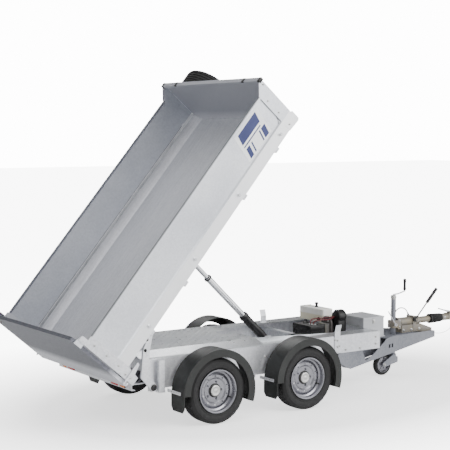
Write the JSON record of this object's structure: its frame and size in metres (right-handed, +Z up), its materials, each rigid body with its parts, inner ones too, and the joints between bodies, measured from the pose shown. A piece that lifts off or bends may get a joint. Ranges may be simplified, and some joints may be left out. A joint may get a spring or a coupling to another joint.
{
  "type": "tipping trailer",
  "caption": "Twin-axle flatbed-width tipping trailer with its steel body raised on a telescopic ram, spare wheel on the headboard, A-frame drawbar, overrun coupling and jockey wheel",
  "frame": {"origin": "on the ground under the middle of the overall box", "axes": "+X forwards to the towing coupling, +Y to the trailer's left, +Z up"},
  "size_m": [4.6153, 1.53, 2.8018],
  "materials": {
    "galvanised": "spangled hot-dip galvanised steel",
    "tread_plate": "pressed tread plate",
    "tyre_rubber": "matt black tyre rubber",
    "wheel_steel": "silver painted steel",
    "black_plastic": "moulded black plastic",
    "lamp_plastic": "red lamp lens",
    "ram_black": "black enamel",
    "ram_chrome": "ground hard chrome",
    "tank_plastic": "translucent off-white polyethylene",
    "pump_metal": "cast aluminium",
    "cast_housing": "yellow passivated casting",
    "soft_rubber": "black rubber",
    "lead_red": "dark red cable sheath",
    "box_steel": "grey sheet steel"
  },
  "bodies": {
    "root": {"axle_beams": "galvanised", "battery_box": "black_plastic", "battery_leads": "lead_red", "body_guides": "galvanised", "breakaway_cable": "soft_rubber", "control_box": "box_steel", "coupling_housing": "cast_housing", "cross_members": "galvanised", "drawbar": "galvanised", "jockey_outer_tube": "galvanised", "leaf_springs_and_hangers": "galvanised", "light_board": "galvanised", "mudguard_stays": "galvanised", "mudguards": "black_plastic", "oil_tank": "tank_plastic", "pump_block": "pump_metal", "pump_motor": "ram_black", "ram_hose": "soft_rubber", "side_rails": "galvanised", "tail_lamps": "lamp_plastic", "trailer_cable": "soft_rubber", "tread_deck": "tread_plate", "trunnion_bracket": "galvanised"},
    "tipping_body": {"body_floor": "galvanised", "body_underframe": "galvanised", "headboard": "galvanised", "side_wall_right": "galvanised", "side_wall_left": "galvanised", "corner_posts": "galvanised", "hinge_arms": "galvanised", "spare_tyre": "tyre_rubber", "spare_rim": "wheel_steel", "spare_carrier": "galvanised"},
    "tailgate": {"tailgate": "galvanised"},
    "latch_right": {"gate_latch_right": "galvanised"},
    "latch_left": {"gate_latch_left": "galvanised"},
    "ram_barrel": {"ram_barrel": "ram_black"},
    "ram_outer": {"ram_stage_outer": "ram_chrome"},
    "ram_inner": {"ram_stage_inner": "ram_chrome"},
    "tank_cap": {"tank_cap": "black_plastic"},
    "box_lid": {"control_box_lid": "box_steel"},
    "draw_shaft": {"draw_shaft_and_head": "cast_housing", "shaft_bellows": "soft_rubber"},
    "coupling_latch": {"coupling_latch": "cast_housing"},
    "handbrake": {"handbrake_lever": "soft_rubber"},
    "clamp_lever": {"clamp_lever": "galvanised"},
    "jockey_inner": {"jockey_inner_tube": "galvanised"},
    "jockey_crank": {"jockey_crank": "galvanised"},
    "crank_grip": {"crank_grip": "black_plastic"},
    "jockey_fork": {"jockey_fork": "galvanised"},
    "jockey_wheel": {"jockey_wheel": "soft_rubber"},
    "wheel_rear_left": {"tyre_rear_left": "tyre_rubber", "rim_and_hub_rear_left": "wheel_steel"},
    "wheel_rear_right": {"tyre_rear_right": "tyre_rubber", "rim_and_hub_rear_right": "wheel_steel"},
    "wheel_front_left": {"tyre_front_left": "tyre_rubber", "rim_and_hub_front_left": "wheel_steel"},
    "wheel_front_right": {"tyre_front_right": "tyre_rubber", "rim_and_hub_front_right": "wheel_steel"}
  },
  "joints": [
    {"name": "tip", "type": "hinge", "parent": "root", "child": "tipping_body", "pos_m": [-1.52, 0, 0.318], "axis": [0, -1, 0], "range_deg": [-49.43, 0]},
    {"name": "ram_swing", "type": "hinge", "parent": "root", "child": "ram_barrel", "pos_m": [-0.053, 0, 0.4788], "axis": [0, -1, 0], "range_deg": [0, 11.6]},
    {"name": "ram_outer_slide", "type": "slide", "parent": "ram_barrel", "child": "ram_outer", "axis": [-0.7232, 0, 0.6906], "range_m": [-0.4875, 0]},
    {"name": "ram_inner_slide", "type": "slide", "parent": "ram_outer", "child": "ram_inner", "axis": [-0.7232, 0, 0.6906], "range_m": [-0.5115, 0]},
    {"name": "tailgate_swing", "type": "hinge", "parent": "tipping_body", "child": "tailgate", "pos_m": [-2.21317, 0, 0.77665], "axis": [0, 1, 0], "range_deg": [0, 100]},
    {"name": "gate_latch_right_turn", "type": "hinge", "parent": "tipping_body", "child": "latch_right", "pos_m": [-1.81331, -0.726, 0.4672], "axis": [0, 1, 0], "range_deg": [0, 70]},
    {"name": "gate_latch_left_turn", "type": "hinge", "parent": "tipping_body", "child": "latch_left", "pos_m": [-1.81331, 0.726, 0.4672], "axis": [0, 1, 0], "range_deg": [0, 70]},
    {"name": "wheel_rear_left_roll", "type": "hinge", "parent": "root", "child": "wheel_rear_left", "pos_m": [-1.04, 0.66, 0.261], "axis": [0, 1, 0], "continuous": true},
    {"name": "wheel_rear_right_roll", "type": "hinge", "parent": "root", "child": "wheel_rear_right", "pos_m": [-1.04, -0.66, 0.261], "axis": [0, 1, 0], "continuous": true},
    {"name": "wheel_front_left_roll", "type": "hinge", "parent": "root", "child": "wheel_front_left", "pos_m": [-0.152, 0.66, 0.261], "axis": [0, 1, 0], "continuous": true},
    {"name": "wheel_front_right_roll", "type": "hinge", "parent": "root", "child": "wheel_front_right", "pos_m": [-0.152, -0.66, 0.261], "axis": [0, 1, 0], "continuous": true},
    {"name": "tank_cap_turn", "type": "hinge", "parent": "root", "child": "tank_cap", "pos_m": [0.742, 0.27, 0.68], "axis": [0, 0, 1], "continuous": true},
    {"name": "box_lid_open", "type": "hinge", "parent": "root", "child": "box_lid", "pos_m": [0.94, 0.008, 0.604], "axis": [-1, 0, 0], "range_deg": [0, 100]},
    {"name": "draw_shaft_overrun", "type": "slide", "parent": "root", "child": "draw_shaft", "axis": [1, 0, 0], "range_m": [-0.09, 0]},
    {"name": "coupling_latch_lift", "type": "hinge", "parent": "draw_shaft", "child": "coupling_latch", "pos_m": [2.185, 0, 0.522], "axis": [0, 1, 0], "range_deg": [0, 35], "stiffness_Nm_per_rad": 0.5, "springref_deg": -17.19},
    {"name": "handbrake_pull", "type": "hinge", "parent": "root", "child": "handbrake", "pos_m": [1.68, -0.056, 0.5], "axis": [0, -1, 0], "range_deg": [-32, 40]},
    {"name": "clamp_lever_turn", "type": "hinge", "parent": "root", "child": "clamp_lever", "pos_m": [1.43, -0.058, 0.47], "axis": [0, -1, 0], "range_deg": [0, 90]},
    {"name": "jockey_crank_turn", "type": "hinge", "parent": "root", "child": "jockey_crank", "pos_m": [1.45, 0, 0.74], "axis": [0, 0, 1], "range_deg": [0, 4320]},
    {"name": "jockey_height", "type": "slide", "parent": "root", "child": "jockey_inner", "axis": [0, 0, 1], "range_m": [0, 0.0601]},
    {"name": "crank_grip_spin", "type": "hinge", "parent": "jockey_crank", "child": "crank_grip", "pos_m": [1.59, 0, 0.83], "axis": [0, 0, 1], "continuous": true},
    {"name": "jockey_swivel", "type": "hinge", "parent": "jockey_inner", "child": "jockey_fork", "pos_m": [1.45, 0, 0.17], "axis": [0, 0, 1], "continuous": true},
    {"name": "jockey_wheel_roll", "type": "hinge", "parent": "jockey_fork", "child": "jockey_wheel", "pos_m": [1.312, 0, 0.1], "axis": [0, 1, 0], "continuous": true}
  ],
  "couplings": [
    {"joint": "ram_swing", "follows": "tip", "ratio": -0.23276},
    {"joint": "ram_outer_slide", "follows": "tip", "m_per_rad": 0.5645},
    {"joint": "ram_inner_slide", "follows": "tip", "m_per_rad": 0.59209},
    {"joint": "jockey_height", "follows": "jockey_crank_turn", "m_per_rad": 0.00079577}
  ]
}
